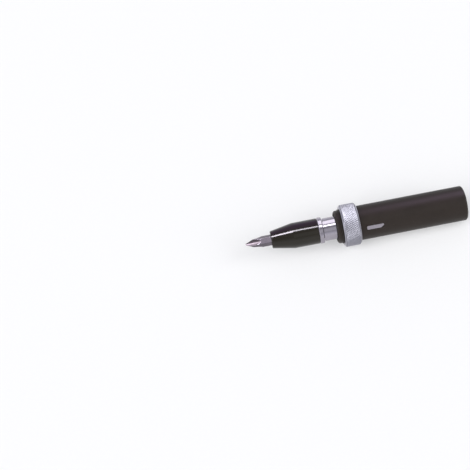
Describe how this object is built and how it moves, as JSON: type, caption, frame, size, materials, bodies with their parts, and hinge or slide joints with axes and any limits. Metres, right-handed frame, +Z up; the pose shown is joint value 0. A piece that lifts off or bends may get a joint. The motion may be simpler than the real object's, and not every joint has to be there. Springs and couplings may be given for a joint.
{
  "type": "hand impact driver",
  "caption": "Struck screwdriver: cylindrical steel handle with knurled ring, cam-driven spindle, tapered bit holder and cross-point bit.",
  "frame": {"origin": "centre of the flat struck face at the butt", "axes": "+X out of the butt along the tool's axis, the bit lies towards -X, +Z up with the tool lying on its side"},
  "size_m": [0.188, 0.036, 0.036],
  "materials": {
    "handle_steel": "satin black, soft bluish sheen",
    "ground_steel": "bright, finely turned",
    "spring_steel": "dark, lightly oiled",
    "seal_rubber": "matte black",
    "plated_ring": "pale satin plating",
    "holder_steel": "gloss black",
    "bit_steel": "gunmetal, ground faces"
  },
  "bodies": {
    "handle": {"handle_barrel": "handle_steel", "cam_sleeve": "ground_steel", "sleeve_key": "ground_steel", "sleeve_screw_left": "spring_steel", "sleeve_screw_right": "spring_steel", "sleeve_clip": "spring_steel", "spindle_seal": "seal_rubber", "ring_clip": "handle_steel"},
    "ring": {"knurled_ring": "plated_ring"},
    "spring_end": {"spring_seat": "spring_steel", "main_spring": "spring_steel"},
    "washer": {"thrust_washer": "ground_steel"},
    "spindle": {"spindle": "ground_steel", "drive_pin": "ground_steel", "detent_spring": "spring_steel"},
    "ball": {"detent_ball": "ground_steel"},
    "holder": {"bit_holder": "holder_steel", "bit_clip": "spring_steel", "holder_magnet": "plated_ring"},
    "bit": {"bit": "bit_steel"}
  },
  "joints": [
    {"name": "direction_select", "type": "hinge", "parent": "handle", "child": "spring_end", "pos_m": [0, 0, 0], "axis": [1, 0, 0], "range_deg": [-40, 0]},
    {"name": "impact_stroke", "type": "slide", "parent": "spring_end", "child": "washer", "axis": [1, 0, 0], "range_m": [0, 0.009], "stiffness_N_per_m": 6000, "springref_m": -0.006, "deforming": ["main_spring"]},
    {"name": "cam_turn", "type": "hinge", "parent": "washer", "child": "spindle", "pos_m": [0, 0, 0], "axis": [1, 0, 0], "range_deg": [-20, 0]},
    {"name": "detent_press", "type": "slide", "parent": "spindle", "child": "ball", "axis": [0, 0, -1], "range_m": [0, 0.0008], "stiffness_N_per_m": 2000, "springref_m": -0.001, "deforming": ["detent_spring"]},
    {"name": "holder_pull", "type": "slide", "parent": "spindle", "child": "holder", "axis": [-1, 0, 0], "range_m": [0, 0.014]},
    {"name": "bit_pull", "type": "slide", "parent": "holder", "child": "bit", "axis": [-1, 0, 0], "range_m": [0, 0.015]},
    {"name": "ring_turn", "type": "hinge", "parent": "handle", "child": "ring", "pos_m": [0, 0, 0], "axis": [1, 0, 0], "continuous": true}
  ],
  "couplings": [
    {"joint": "cam_turn", "follows": "impact_stroke", "rad_per_m": -38.785}
  ]
}
